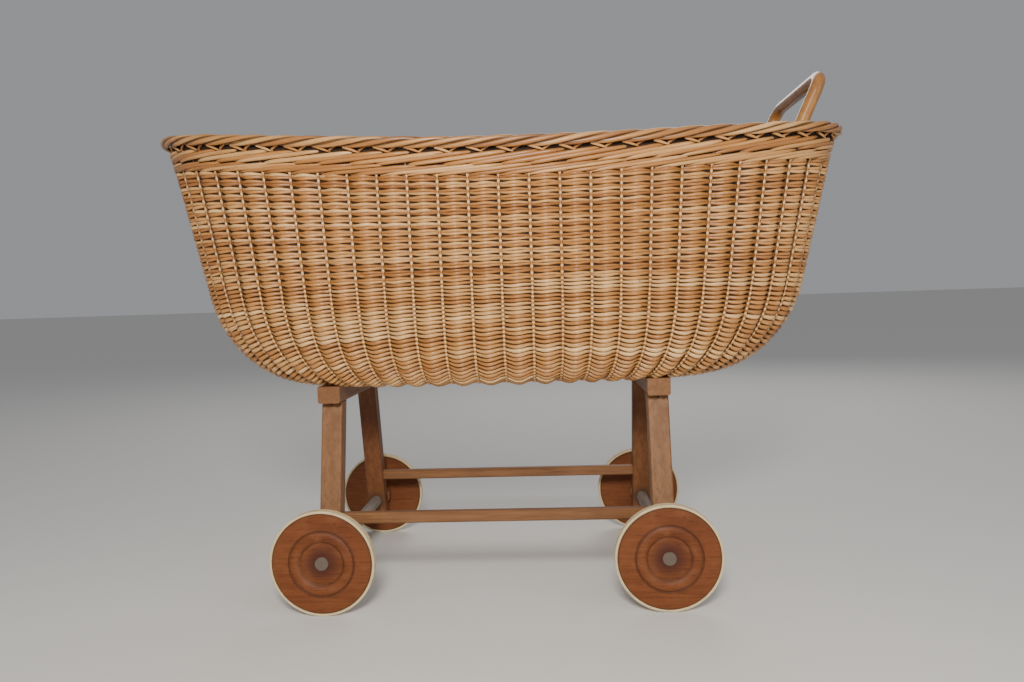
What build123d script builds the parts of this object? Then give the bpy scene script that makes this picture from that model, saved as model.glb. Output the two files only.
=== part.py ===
"""Wicker doll pram: an oblong willow basket on a wooden running frame with turned disc wheels.

Frame: +X points to the handle end, +Y to the right-hand side of somebody pushing from +X
towards -X, +Z up. The origin lies on the ground under the middle of the basket. Millimetres.
"""
import os
from math import atan, cos, radians, sin

from build123d import *

os.makedirs("parts", exist_ok=True)

# ---------------------------------------------------------------- driving dimensions
# wheels
wheel_diameter = 140.0        # over the tyre
tyre_thickness = 3.4          # rubber band around the wooden disc
tyre_width = 12.8
tyre_corner = 1.2
wheel_thickness = 14.0
wheel_track = 385.0           # between the middle planes of the discs
wheelbase = 453.0
chassis_shift = -12.0         # the frame stands this far forward of the basket's middle
bead_inner = 30.0             # turned bead on the disc's outer face, two radii
bead_outer = 42.0
bead_rise = 1.6
dish_depth = 2.4              # turned dish inside the bead
groove_width = 2.4            # turned groove around the bead
groove_depth = 1.8
disc_edge = 1.2

# axles and hubs
axle_diameter = 17.5
axle_clearance = 0.08         # radial, in the legs
boss_diameter = 32.0          # turned boss on the wheel's inner face
boss_side_play = 0.6          # between the boss and the leaning face of the leg
boss_edge = 1.5

# legs
leg_width = 29.0              # along X
leg_depth = 25.0              # across the leg, square to its length
leg_spread_axle = 296.0       # between leg centre lines at axle height
leg_spread_top = 204.0        # the same under the cross rails
leg_below_axle = 26.0
leg_edge = 2.5
tenon_width = 15.0
tenon_depth = 13.0
tenon_height = 14.0
tenon_play = 0.1              # around the tenon in its mortise
mortise_relief = 1.0          # mortise deeper than the tenon is high

# cross rails, across the frame under the basket
rail_length = 262.0
rail_width = 31.0
rail_height = 23.0
rail_edge = 2.0
frame_height = 296.0          # top of the cross rails

# stretchers, along the frame between the legs
stretcher_height = 115.0      # centre line above the ground
stretcher_size = 15.0
stretcher_edge = 2.0
stretcher_tenon_diameter = 10.0
stretcher_tenon_length = 18.0
socket_play = 0.05            # radial, and at the socket's bottom

# basket
basket_half_length = 481.0    # outer face of the wall at reference_height
basket_half_width = 203.0
reference_height = 616.0
flare_end = 0.236             # outward lean of the wall, end and side, mm per mm
flare_side = 0.06
plan_power = 2.45             # superellipse exponent of every horizontal section
turn_power = 2.3              # superellipse exponent of the turn under the basket
turn_depth_end = 134.0        # how far the turn runs in under the end and the side
turn_depth_side = 50.0
turn_height_end = 137.0
turn_height_side = 90.0
wall_thickness = 8.0
board_thickness = 9.0
board_proud = 1.5             # board showing under the weave
board_margin = 8.0            # weave lapping over the board's edge
wall_top_height = 568.0       # top of the wall at mid length
wale_height = 28.0            # the two wale rows together
wale_proud = 4.0              # how far they stand out of the wall
border_gap = 4.0              # bare stretch of stakes between wale and border
border_diameter = 15.0
border_overhang = 3.0         # centre line of the border outside the wall's outer face
sheer_rise = 33.0             # rise of the rim from mid length to the ends
sheer_tilt = -9.0             # more of that rise at the front end, less at the handle
change_height = 434.0         # double weave above, single weave below

# handle
handle_diameter = 17.5
handle_spread = 216.0         # between the two posts
handle_top_height = 705.0
handle_lean = 0.45            # outward lean of the posts above the rim, mm per mm
handle_corner_radius = 24.0
handle_knee_radius = 90.0
handle_foot_depth = 76.0      # post below the border's centre line
handle_clearance = 0.3        # post to border and wall

# nails, pegs and screws
nail_diameter = 3.0
leg_nail_length = 32.0
leg_nail_drop = 6.0           # nail's entry below the cross rail
leg_nail_rise = 55.0          # degrees above level, driven upwards and inwards
stretcher_nail_length = 19.0
handle_peg_diameter = 5.0
handle_peg_drop = 58.0        # below the border's centre line
handle_peg_cover = 1.5        # weave left over the peg's outer end
screw_diameter = 4.5
screw_head_diameter = 9.0
screw_head_height = 3.0
screw_bite = 6.0              # thread in the base board
screw_spread = 120.0

# ---------------------------------------------------------------- derived values
wheel_radius = wheel_diameter / 2
disc_radius = wheel_radius - tyre_thickness
axle_radius = axle_diameter / 2
axle_length = wheel_track + wheel_thickness
rail_bottom = frame_height - rail_height
splay = (leg_spread_axle - leg_spread_top) / 2 / (rail_bottom - wheel_radius)
splay_angle = atan(splay)
leg_run = leg_depth / cos(splay_angle)
axle_x = {"front": chassis_shift - wheelbase / 2, "rear": chassis_shift + wheelbase / 2}
side_sign = {"left": -1, "right": 1}
weave_bottom = frame_height + board_proud
border_radius = border_diameter / 2
handle_radius = handle_diameter / 2
border_low = wall_top_height + wale_height + border_gap
border_line_height = border_low + border_radius


def leg_offset(height):
    """Distance of a leg's centre line from the frame's middle plane at a height."""
    return leg_spread_axle / 2 - splay * (height - wheel_radius)


def turn_share(height, turn_height, bottom):
    """Share of the turn's depth that has been reached at a height, from 0 to 1."""
    rise = min(max((bottom + turn_height - height) / turn_height, 0.0), 1.0)
    return 1 - (1 - rise**turn_power) ** (1 / turn_power)


def half_length(height, inset=0.0):
    """Half length of the basket at a height; inset moves the surface inwards."""
    bottom = weave_bottom + inset
    turn = turn_depth_end * turn_share(height, turn_height_end, bottom)
    return basket_half_length - inset - flare_end * (reference_height - height) - turn


def half_width(height, inset=0.0):
    """Half width of the basket at a height; inset moves the surface inwards."""
    bottom = weave_bottom + inset
    turn = turn_depth_side * turn_share(height, turn_height_side, bottom)
    return basket_half_width - inset - flare_side * (reference_height - height) - turn


def plan_point(angle, long_half, short_half):
    """Point of the basket's plan curve at a parameter angle in degrees."""
    c, s = cos(radians(angle)), sin(radians(angle))
    x = long_half * abs(c) ** (2 / plan_power) * (1 if c >= 0 else -1)
    y = short_half * abs(s) ** (2 / plan_power) * (1 if s >= 0 else -1)
    return x, y


plan_angles = [0, 4, 10, 20, 32, 45, 58, 70, 80, 86]
plan_angles = plan_angles + [90] + [180 - a for a in reversed(plan_angles)]
plan_angles = plan_angles + [360 - a for a in reversed(plan_angles[1:-1])]


def plan_face(long_half, short_half):
    """Face inside the basket's plan curve, on the ground plane."""
    with BuildSketch() as plan:
        with BuildLine():
            Spline(*[plan_point(a, long_half, short_half) for a in plan_angles], periodic=True)
        make_face()
    return plan.sketch


def sheer_height(height_at_middle, x):
    """Height of a line of the rim at a distance from mid length."""
    share = x / basket_half_length
    return height_at_middle + sheer_rise * share**2 + sheer_tilt * share


def sheer_block(low, high):
    """Block between two sheered surfaces, as long and wide as the basket and more."""
    reach = basket_half_length + 80
    with BuildPart() as block:
        with BuildSketch(Plane.XZ.offset(-basket_half_width - 60)):
            with BuildLine():
                lows = [(x, low if low < change_height + 1 else sheer_height(low, x))
                        for x in (-reach, 0, reach)]
                highs = [(x, sheer_height(high, x)) for x in (reach, 0, -reach)]
                if low < change_height + 1:
                    Line(lows[0], lows[2])
                else:
                    ThreePointArc(*lows)
                Line(lows[2], highs[0])
                ThreePointArc(*highs)
                Line(highs[2], lows[0])
            make_face()
        extrude(amount=2 * (basket_half_width + 60))
    return block.part


def finish(name, part):
    """Label a finished piece and write it out under its node name."""
    part.label = name
    export_step(part, f"parts/{name}.step")


# ---------------------------------------------------------------- fastenings of the frame
nail_radius = nail_diameter / 2


def leg_nail(end, side):
    """Nail driven upwards from the leg's outer face into the cross rail."""
    sign = side_sign[side]
    height = rail_bottom - leg_nail_drop
    y = sign * (leg_offset(height) + leg_run / 2)
    rise = radians(leg_nail_rise)
    with BuildPart() as nail:
        with BuildSketch(Plane(origin=(axle_x[end], y, height), z_dir=(0, -sign * cos(rise), sin(rise)))):
            Circle(nail_radius)
        extrude(amount=leg_nail_length)
    return nail.part


def stretcher_nail(end, side):
    """Nail from the leg's inner face through the stretcher's tenon."""
    sign = side_sign[side]
    y = sign * (leg_offset(stretcher_height) - leg_run / 2)
    with BuildPart() as nail:
        with BuildSketch(Plane(origin=(axle_x[end], y, stretcher_height), z_dir=(0, sign, 0))):
            Circle(nail_radius)
        extrude(amount=stretcher_nail_length)
    return nail.part


def basket_screw(end, side):
    """Countersunk screw from under the cross rail into the base board."""
    x, y = axle_x[end], side_sign[side] * screw_spread / 2
    with BuildPart() as screw:
        with BuildSketch(Plane(origin=(x, y, rail_bottom))):
            Circle(screw_head_diameter / 2)
        with BuildSketch(Plane(origin=(x, y, rail_bottom + screw_head_height))):
            Circle(screw_diameter / 2)
        loft()
        with BuildSketch(Plane(origin=(x, y, rail_bottom + screw_head_height))):
            Circle(screw_diameter / 2)
        extrude(amount=rail_height - screw_head_height + screw_bite)
    return screw.part


def stretcher_tenons(side, play):
    """Round tenons at both ends of a stretcher, grown by a play for their sockets."""
    y = side_sign[side] * leg_offset(stretcher_height)
    inner = wheelbase / 2 - leg_width / 2
    with BuildPart() as tenons:
        for sign in (-1, 1):
            start = (chassis_shift + sign * inner, y, stretcher_height)
            with BuildSketch(Plane(origin=start, z_dir=(sign, 0, 0))):
                Circle(stretcher_tenon_diameter / 2 + play)
            extrude(amount=stretcher_tenon_length + play)
    return tenons.part


def leg_tenon(end, side, play, relief):
    """Square tenon on top of a leg, grown by a play and a relief for its mortise."""
    y = side_sign[side] * leg_offset(rail_bottom)
    with BuildPart() as tenon:
        with BuildSketch(Plane(origin=(axle_x[end], y, rail_bottom))):
            Rectangle(tenon_width + 2 * play, tenon_depth + 2 * play)
        extrude(amount=tenon_height + relief)
    return tenon.part


# ---------------------------------------------------------------- basket
section_angles = [90, 75, 60, 45, 30, 15, 0]
loft_top = border_line_height + sheer_rise - sheer_tilt + 30


def bowl(inset):
    """Solid inside the basket's bottom and its turn, its surface moved inwards by the inset."""
    bottom = weave_bottom + inset
    drop = change_height - bottom
    with BuildPart() as solid:
        for angle in section_angles:
            height = change_height - drop * sin(radians(angle)) ** (2 / turn_power)
            with BuildSketch(Plane.XY.offset(height)):
                add(plan_face(half_length(height, inset), half_width(height, inset)))
        loft()
    return solid.part


def flared_wall(inset):
    """Solid inside the straight flared part of the wall, its surface moved inwards by the inset."""
    with BuildPart() as solid:
        for height in (change_height, loft_top):
            with BuildSketch(Plane.XY.offset(height)):
                add(plan_face(half_length(height, inset), half_width(height, inset)))
        loft(ruled=True)
    return solid.part


# ---------------------------------------------------------------- handle line
post_inset = wall_thickness + (handle_radius + handle_clearance) / cos(atan(flare_end))
knee_height = sheer_height(border_line_height, 0.9 * basket_half_length)
bow_height = handle_top_height - handle_radius


def post_x(height):
    """Where a handle post stands at a height, along the inside of the wall."""
    long_half = half_length(height) - post_inset
    short_half = half_width(height) - post_inset
    share = (handle_spread / 2 / short_half) ** plan_power
    return long_half * (1 - share) ** (1 / plan_power)


def wall_normal(height):
    """Outward direction of the wall beside a handle post, as x and y of a unit vector."""
    x, y = post_x(height), handle_spread / 2
    nx = (x / half_length(height)) ** (plan_power - 1) / half_length(height)
    ny = (y / half_width(height)) ** (plan_power - 1) / half_width(height)
    size = (nx**2 + ny**2) ** 0.5
    return nx / size, ny / size


def handle_peg_solids():
    """Two pegs, each through a post of the handle and into the weave behind it."""
    height = knee_height - handle_peg_drop
    nx, ny = wall_normal(height)
    reach = post_inset - handle_peg_cover
    with BuildPart() as pegs:
        for sign in side_sign.values():
            middle = Vector(post_x(height), sign * handle_spread / 2, height)
            outward = Vector(nx, sign * ny, 0)
            with BuildSketch(Plane(origin=middle - outward * handle_radius, z_dir=outward)):
                Circle(handle_peg_diameter / 2)
            extrude(amount=handle_radius + reach)
    return pegs.part


outer_bowl = bowl(0.0)
inner_bowl = bowl(wall_thickness)
outer_wall = flared_wall(0.0)
inner_wall = flared_wall(wall_thickness)
board_long = half_length(weave_bottom) - board_margin
board_short = half_width(weave_bottom) - board_margin

with BuildPart() as wall_lower:
    add(outer_bowl)
    add(inner_bowl, mode=Mode.SUBTRACT)
    with BuildSketch(Plane.XY.offset(frame_height)):
        add(plan_face(board_long, board_short))
    extrude(amount=board_thickness + 1, mode=Mode.SUBTRACT)
finish("wall_lower", wall_lower.part)

with BuildPart() as base_board:
    with BuildSketch(Plane.XY.offset(frame_height)):
        add(plan_face(board_long, board_short))
    extrude(amount=board_thickness)
    for end in axle_x:
        for side in side_sign:
            add(basket_screw(end, side), mode=Mode.SUBTRACT)
finish("base_board", base_board.part)

with BuildPart() as wall_upper:
    add(sheer_block(change_height, wall_top_height))
    add(outer_wall, mode=Mode.INTERSECT)
    add(inner_wall, mode=Mode.SUBTRACT)
    add(handle_peg_solids(), mode=Mode.SUBTRACT)
finish("wall_upper", wall_upper.part)

with BuildPart() as wale_band:
    add(sheer_block(wall_top_height, wall_top_height + wale_height))
    add(flared_wall(-wale_proud), mode=Mode.INTERSECT)
    add(inner_wall, mode=Mode.SUBTRACT)
finish("wale_band", wale_band.part)

with BuildPart() as stake_collar:
    add(sheer_block(wall_top_height + wale_height, border_low))
    add(outer_wall, mode=Mode.INTERSECT)
    add(inner_wall, mode=Mode.SUBTRACT)
finish("stake_collar", stake_collar.part)

with BuildPart() as rim_border:
    add(sheer_block(border_low, border_low + border_diameter))
    add(flared_wall(-border_overhang - border_radius), mode=Mode.INTERSECT)
    add(flared_wall(border_radius - border_overhang), mode=Mode.SUBTRACT)
finish("rim_border", rim_border.part)

# ---------------------------------------------------------------- handle
post_top_x = post_x(knee_height) + handle_lean * (bow_height - knee_height)
foot_height = knee_height - handle_foot_depth
half_bow = [(post_x(foot_height), foot_height), (post_x(knee_height), knee_height),
            (post_top_x, bow_height)]
bow_route = [(x, -handle_spread / 2, z) for x, z in half_bow]
bow_route = bow_route + [(x, handle_spread / 2, z) for x, z in reversed(half_bow)]
bow_radii = [handle_knee_radius, handle_corner_radius, handle_corner_radius, handle_knee_radius]

with BuildPart() as handle_bow:
    with BuildLine() as bow_line:
        FilletPolyline(*bow_route, radius=bow_radii)
    with BuildSketch(Plane(origin=bow_line.line @ 0, z_dir=bow_line.line % 0)):
        Circle(handle_radius)
    sweep(path=bow_line.line)
    add(handle_peg_solids(), mode=Mode.SUBTRACT)
finish("handle_bow", handle_bow.part)
finish("handle_pegs", handle_peg_solids())

# ---------------------------------------------------------------- legs
for end in axle_x:
    for side, sign in side_sign.items():
        foot = wheel_radius - leg_below_axle
        corners = [(sign * (leg_offset(z) + k * leg_run / 2), z)
                   for z, k in ((foot, -1), (foot, 1), (rail_bottom, 1), (rail_bottom, -1))]
        with BuildPart() as leg:
            with BuildSketch(Plane.YZ.offset(axle_x[end] - leg_width / 2)):
                with BuildLine():
                    Polyline(*corners, close=True)
                make_face()
            extrude(amount=leg_width)
            long_edges = leg.edges().filter_by(lambda e: e.length > 2 * leg_width)
            fillet(long_edges, leg_edge)
            add(leg_tenon(end, side, 0.0, 0.0))
            with BuildSketch(Plane.XZ.offset(-sign * leg_spread_axle / 2)):
                with Locations((axle_x[end], wheel_radius)):
                    Circle(axle_radius + axle_clearance)
            extrude(amount=leg_run, both=True, mode=Mode.SUBTRACT)
            add(stretcher_tenons(side, socket_play), mode=Mode.SUBTRACT)
            add(stretcher_nail(end, side), mode=Mode.SUBTRACT)
            add(leg_nail(end, side), mode=Mode.SUBTRACT)
        finish(f"leg_{end}_{side}", leg.part)

# ---------------------------------------------------------------- cross rails
for end in axle_x:
    with BuildPart() as rail:
        with BuildSketch(Plane(origin=(axle_x[end], 0, rail_bottom))):
            Rectangle(rail_width, rail_length)
        extrude(amount=rail_height)
        chamfer(rail.edges().filter_by(Axis.Y).group_by(Axis.Z)[0], rail_edge)
        for side in side_sign:
            add(leg_tenon(end, side, tenon_play, mortise_relief), mode=Mode.SUBTRACT)
            add(leg_nail(end, side), mode=Mode.SUBTRACT)
            add(basket_screw(end, side), mode=Mode.SUBTRACT)
    finish(f"{end}_cross_rail", rail.part)

# ---------------------------------------------------------------- stretchers
for side, sign in side_sign.items():
    y = sign * leg_offset(stretcher_height)
    with BuildPart() as stretcher:
        with BuildSketch(Plane(origin=(chassis_shift, y, stretcher_height), z_dir=(1, 0, 0))):
            Rectangle(stretcher_size, stretcher_size)
        extrude(amount=(wheelbase - leg_width) / 2, both=True)
        chamfer(stretcher.edges().filter_by(Axis.X), stretcher_edge)
        add(stretcher_tenons(side, 0.0))
        for end in axle_x:
            add(stretcher_nail(end, side), mode=Mode.SUBTRACT)
    finish(f"stretcher_{side}", stretcher.part)

# ---------------------------------------------------------------- nails and screws, in groups
places = [(end, side) for end in axle_x for side in side_sign]
for name, maker in (("leg_nails", leg_nail), ("stretcher_nails", stretcher_nail),
                    ("basket_screws", basket_screw)):
    with BuildPart() as group:
        for end, side in places:
            add(maker(end, side))
    finish(name, group.part)

# ---------------------------------------------------------------- axles, wheels, tyres, bosses
boss_reach = boss_diameter / 2 * splay
boss_start = leg_spread_axle / 2 + leg_run / 2 + boss_reach + boss_side_play


def wheel_places(end, side, points):
    """Turned profile points, given as distance outwards and radius, in the wheel's sketch plane."""
    sign = side_sign[side]
    return [(sign * out, wheel_radius + radius) for out, radius in points]


for end in axle_x:
    spin = Axis((axle_x[end], 0, wheel_radius), (0, 1, 0))
    with BuildPart() as axle:
        with BuildSketch(Plane(origin=(axle_x[end], 0, wheel_radius), z_dir=(0, 1, 0))):
            Circle(axle_radius)
        extrude(amount=axle_length / 2, both=True)
    finish(f"{end}_axle", axle.part)

    for side in side_sign:
        middle = wheel_track / 2
        inner, outer = middle - wheel_thickness / 2, middle + wheel_thickness / 2
        bead_middle = (bead_inner + bead_outer) / 2
        groove_middle = bead_outer + groove_width / 2
        rim = [(outer - dish_depth, axle_radius), (inner, axle_radius), (inner, disc_radius - disc_edge),
               (inner + disc_edge, disc_radius), (outer - disc_edge, disc_radius),
               (outer, disc_radius - disc_edge), (outer, bead_outer + groove_width)]
        groove = [(outer, bead_outer + groove_width), (outer - groove_depth, groove_middle),
                  (outer, bead_outer)]
        bead = [(outer, bead_outer), (outer + bead_rise, bead_middle), (outer, bead_inner)]
        dish = [(outer, bead_inner), (outer - dish_depth, bead_inner - dish_depth),
                (outer - dish_depth, axle_radius)]
        with BuildPart() as disc:
            with BuildSketch(Plane.YZ.offset(axle_x[end])):
                with BuildLine():
                    Polyline(*wheel_places(end, side, rim))
                    ThreePointArc(*wheel_places(end, side, groove))
                    ThreePointArc(*wheel_places(end, side, bead))
                    Polyline(*wheel_places(end, side, dish))
                make_face()
            revolve(axis=spin)
        finish(f"wheel_{end}_{side}", disc.part)

        tyre_in, tyre_out = middle - tyre_width / 2, middle + tyre_width / 2
        section = [(tyre_in, disc_radius), (tyre_in, wheel_radius), (tyre_out, wheel_radius),
                   (tyre_out, disc_radius)]
        with BuildPart() as tyre:
            with BuildSketch(Plane.YZ.offset(axle_x[end])) as tyre_sketch:
                with BuildLine():
                    Polyline(*wheel_places(end, side, section), close=True)
                make_face()
                fillet(tyre_sketch.vertices().group_by(Axis.Z)[-1], tyre_corner)
            revolve(axis=spin)
        finish(f"tyre_{end}_{side}", tyre.part)

        section = [(boss_start, axle_radius), (inner, axle_radius), (inner, boss_diameter / 2),
                   (boss_start + boss_edge, boss_diameter / 2),
                   (boss_start, boss_diameter / 2 - boss_edge)]
        with BuildPart() as boss:
            with BuildSketch(Plane.YZ.offset(axle_x[end])):
                with BuildLine():
                    Polyline(*wheel_places(end, side, section), close=True)
                make_face()
            revolve(axis=spin)
        finish(f"boss_{end}_{side}", boss.part)
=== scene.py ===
"""Visual model of the wicker doll pram: woven willow basket, wooden frame, turned wheels."""

from math import cos, pi, radians, sin

import bpy
import numpy as np
from mathutils import Matrix, Vector


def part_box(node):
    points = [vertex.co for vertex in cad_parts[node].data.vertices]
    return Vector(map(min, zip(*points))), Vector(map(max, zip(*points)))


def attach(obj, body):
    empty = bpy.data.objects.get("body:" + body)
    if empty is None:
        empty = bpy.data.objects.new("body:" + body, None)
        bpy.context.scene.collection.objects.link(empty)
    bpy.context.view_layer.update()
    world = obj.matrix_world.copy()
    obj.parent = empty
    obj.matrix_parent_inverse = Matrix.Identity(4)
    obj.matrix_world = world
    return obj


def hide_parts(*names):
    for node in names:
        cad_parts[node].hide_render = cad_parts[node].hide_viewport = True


bl_info = {
    "name": "Wicker doll pram",
    "version": (1, 0, 0),
    "blender": (4, 5, 0),
    "location": "View3D > Sidebar > Pram",
    "description": "Builds the willow basket, the finishes and the studio around the pram's frame",
    "category": "Object",
}

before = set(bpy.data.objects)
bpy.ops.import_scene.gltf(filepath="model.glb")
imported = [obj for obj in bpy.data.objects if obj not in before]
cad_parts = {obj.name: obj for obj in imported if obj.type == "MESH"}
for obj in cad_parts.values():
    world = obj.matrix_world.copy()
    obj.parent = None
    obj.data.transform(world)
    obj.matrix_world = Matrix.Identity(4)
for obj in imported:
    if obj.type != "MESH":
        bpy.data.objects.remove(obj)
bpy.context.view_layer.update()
MM = 0.001
MM_IN_METRE = 1000

# ---------------------------------------------------------------- the basket's shape
# The same rules as the construction model, in millimetres.
PLAN_POWER = 2.45
TURN_POWER = 2.3
REFERENCE = (481.0, 203.0, 616.0)      # half length, half width, and their height
FLARE = (0.236, 0.06)                  # end, side
TURN_DEPTH = (134.0, 50.0)
TURN_HEIGHT = (137.0, 90.0)
WEAVE_BOTTOM = 297.5
CHANGE = 434.0
WALL_TOP = 568.0
BORDER_LOW = 600.0
BORDER_RADIUS = 7.5
BORDER_OVERHANG = 3.0
SHEER = (33.0, -9.0)                   # rise towards both ends, and its tilt towards the front
MIDDLE_INSET = 4.0                     # the weave's middle surface inside the wall's outer face
MEAN_SHEER = SHEER[0] / 3              # the rise's mean along the basket, for the rows' spacing
QUARTER_SAMPLES = 361
SHEER_ROUNDS = 3                       # rounds that settle a line's place and its rise together
SLOPE_STEP = 2.0                       # down to the second point that gives the wall's slope
PACKED_SHARE = 0.28                    # of the lower wall, where rods are packed on the board
PACKED_SWAY = 0.3                      # of the full swing, in the lowest rod


def half_size(height, axis):
    """Half length (axis 0) or half width (axis 1) of the weave's middle surface at heights."""
    height = np.asarray(height, float)
    rise = np.clip((WEAVE_BOTTOM + TURN_HEIGHT[axis] - height) / TURN_HEIGHT[axis], 0, 1)
    turn = TURN_DEPTH[axis] * (1 - (1 - rise**TURN_POWER) ** (1 / TURN_POWER))
    return REFERENCE[axis] - FLARE[axis] * (REFERENCE[2] - height) - turn


def quarter_table(long_half, short_half):
    """Unit coordinates and arc lengths of a quarter of the plan curve, from its side to its tip."""
    t = np.linspace(pi / 2, 0, QUARTER_SAMPLES)
    ux = np.abs(np.cos(t)) ** (2 / PLAN_POWER)
    uy = np.abs(np.sin(t)) ** (2 / PLAN_POWER)
    steps = np.hypot(np.diff(ux * long_half), np.diff(uy * short_half))
    return ux, uy, np.concatenate([[0], np.cumsum(steps)])


TOP_QUARTER = quarter_table(half_size(WALL_TOP, 0), half_size(WALL_TOP, 1))[2][-1]


def unit_plan(turn, height):
    """Unit plan coordinates at turn (0 to 4 round the basket from +X by +Y) and a mean height.

    Stakes keep their spacing along the sides and close up round the ends lower down."""
    ux, uy, arc = quarter_table(half_size(height, 0), half_size(height, 1))
    turn = np.mod(np.asarray(turn, float), 4)
    quadrant = np.floor(turn).astype(int)
    share = turn - quadrant
    from_side = np.where(quadrant % 2 == 0, 1 - share, share)
    crowd = TOP_QUARTER / arc[-1] - 1
    from_side = (1 + crowd) * from_side / (1 + crowd * from_side)
    length = from_side * arc[-1]
    x = np.interp(length, arc, ux) * np.where((quadrant == 0) | (quadrant == 3), 1, -1)
    y = np.interp(length, arc, uy) * np.where(quadrant < 2, 1, -1)
    return x, y


def on_wall(turn, height, level=None, proud=0.0):
    """Points of the middle surface, in mm; level is the mean height that sets the spacing."""
    height = np.broadcast_to(np.asarray(height, float), np.shape(turn))
    x, y = unit_plan(turn, float(np.mean(height)) if level is None else level)
    inset = MIDDLE_INSET - proud
    return np.stack([x * (half_size(height, 0) - inset), y * (half_size(height, 1) - inset), height], -1)


def sheer(x):
    """Rise of the rim's lines at a distance from mid length."""
    share = x / REFERENCE[0]
    return SHEER[0] * share**2 + SHEER[1] * share


def bottom_sway(share):
    """Share of the full swing at a share of the lower wall, less where rods are packed on the board."""
    return float(np.interp(share, (0.0, PACKED_SHARE), (PACKED_SWAY, 1.0)))


def unit(vectors):
    """Vectors in rows, made one long."""
    return vectors / np.linalg.norm(vectors, axis=1)[:, None]


def line_normals(points, upward):
    """Outward unit normals of the wall from a line of points and the wall's upward direction."""
    along = np.roll(points, -1, 0) - np.roll(points, 1, 0)
    return unit(np.cross(along, upward))


class WallGrid:
    """The wall from the base board to the wale, sampled round and up, with row lookup."""

    LEVELS = 44

    def __init__(self, turns):
        angle = np.linspace(pi / 2, 0, self.LEVELS)
        low = CHANGE - (CHANGE - WEAVE_BOTTOM) * np.sin(angle) ** (2 / TURN_POWER)
        self.low = np.stack([on_wall(turns, h) for h in low])
        steps = np.linalg.norm(np.diff(self.low, axis=0), axis=2)
        self.low_arc = np.concatenate([np.zeros((1, len(turns))), np.cumsum(steps, 0)])
        self.turns = turns

    def low_row(self, share):
        """Row of the lower wall at a share of each meridian's length, 0 at the board."""
        wanted = share * self.low_arc[-1]
        index = np.clip((self.low_arc < wanted).sum(0) - 1, 0, self.LEVELS - 2)
        column = np.arange(len(self.turns))
        a, b = self.low_arc[index, column], self.low_arc[index + 1, column]
        mix = ((wanted - a) / np.maximum(b - a, 1e-6))[:, None]
        p, q = self.low[index, column], self.low[index + 1, column]
        return p + (q - p) * mix, q - p, self.low_arc[-1]

    def high_row(self, share):
        """Row of the upper wall at a share of its height, which grows with the sheer."""
        level = CHANGE + share * (WALL_TOP + MEAN_SHEER - CHANGE)
        points = on_wall(self.turns, level, level)
        for _ in range(SHEER_ROUNDS):
            top = WALL_TOP + sheer(points[:, 0])
            height = CHANGE + share * (top - CHANGE)
            points = on_wall(self.turns, height, level)
        below = on_wall(self.turns, height - SLOPE_STEP, level)
        return points, points - below, top - CHANGE


# ---------------------------------------------------------------- settings
class PramWeaveSettings(bpy.types.PropertyGroup):
    stakes: bpy.props.IntProperty(
        name="Visible stakes", description="Stakes that show on the outside, each with a hidden one "
        "beside it", default=57, min=12, max=120)
    stake_width: bpy.props.FloatProperty(
        name="Stake width", description="Diameter of a stake", default=0.0037, unit="LENGTH")
    swing: bpy.props.FloatProperty(
        name="Swing", description="How far a weaver swings out and in round the stakes",
        default=0.0043, unit="LENGTH")
    double_rows: bpy.props.IntProperty(
        name="Double rows", description="Rows of two rods in the upper wall", default=16, min=4, max=60)
    single_rows: bpy.props.IntProperty(
        name="Single rows", description="Rows of one rod in the lower wall", default=29, min=4, max=80)
    samples: bpy.props.IntProperty(
        name="Points per wave", description="Points of a rod from one visible stake to the next",
        default=8, min=6, max=16)
    seed: bpy.props.IntProperty(
        name="Seed", description="Seed of the rods' colours and small unevenness", default=7)


class PramColourSettings(bpy.types.PropertyGroup):
    willow_pale: bpy.props.FloatVectorProperty(
        name="Pale willow", description="Lightest rods", subtype="COLOR", size=3, default=(0.82, 0.52, 0.23))
    willow_honey: bpy.props.FloatVectorProperty(
        name="Honey willow", description="Most of the rods", subtype="COLOR", size=3,
        default=(0.47, 0.205, 0.054))
    willow_red: bpy.props.FloatVectorProperty(
        name="Red willow", description="Darkest rods", subtype="COLOR", size=3, default=(0.22, 0.072, 0.020))
    beech: bpy.props.FloatVectorProperty(
        name="Beech", description="Legs, rails and stretchers", subtype="COLOR", size=3,
        default=(0.172, 0.078, 0.030))
    wheel_stain: bpy.props.FloatVectorProperty(
        name="Wheel stain", description="Stained turned discs", subtype="COLOR", size=3,
        default=(0.128, 0.036, 0.0085))
    rubber: bpy.props.FloatVectorProperty(
        name="Rubber", description="Cream rubber tyre", subtype="COLOR", size=3,
        default=(0.66, 0.53, 0.30))


class PramStageSettings(bpy.types.PropertyGroup):
    lens: bpy.props.FloatProperty(
        name="Lens", description="Focal length of the camera in mm", default=28.69)
    yaw: bpy.props.FloatProperty(
        name="Yaw", description="Camera's turn to the left", subtype="ANGLE", default=radians(-3.01))
    pitch: bpy.props.FloatProperty(
        name="Pitch", description="Camera's look downwards", subtype="ANGLE", default=radians(3.03))
    roll: bpy.props.FloatProperty(
        name="Roll", description="Camera's roll", subtype="ANGLE", default=radians(-1.82))
    place: bpy.props.FloatVectorProperty(
        name="Camera place", description="Where the camera stands", subtype="XYZ", unit="LENGTH", size=3,
        default=(0.0755, -1.2376, 0.4109))


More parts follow.
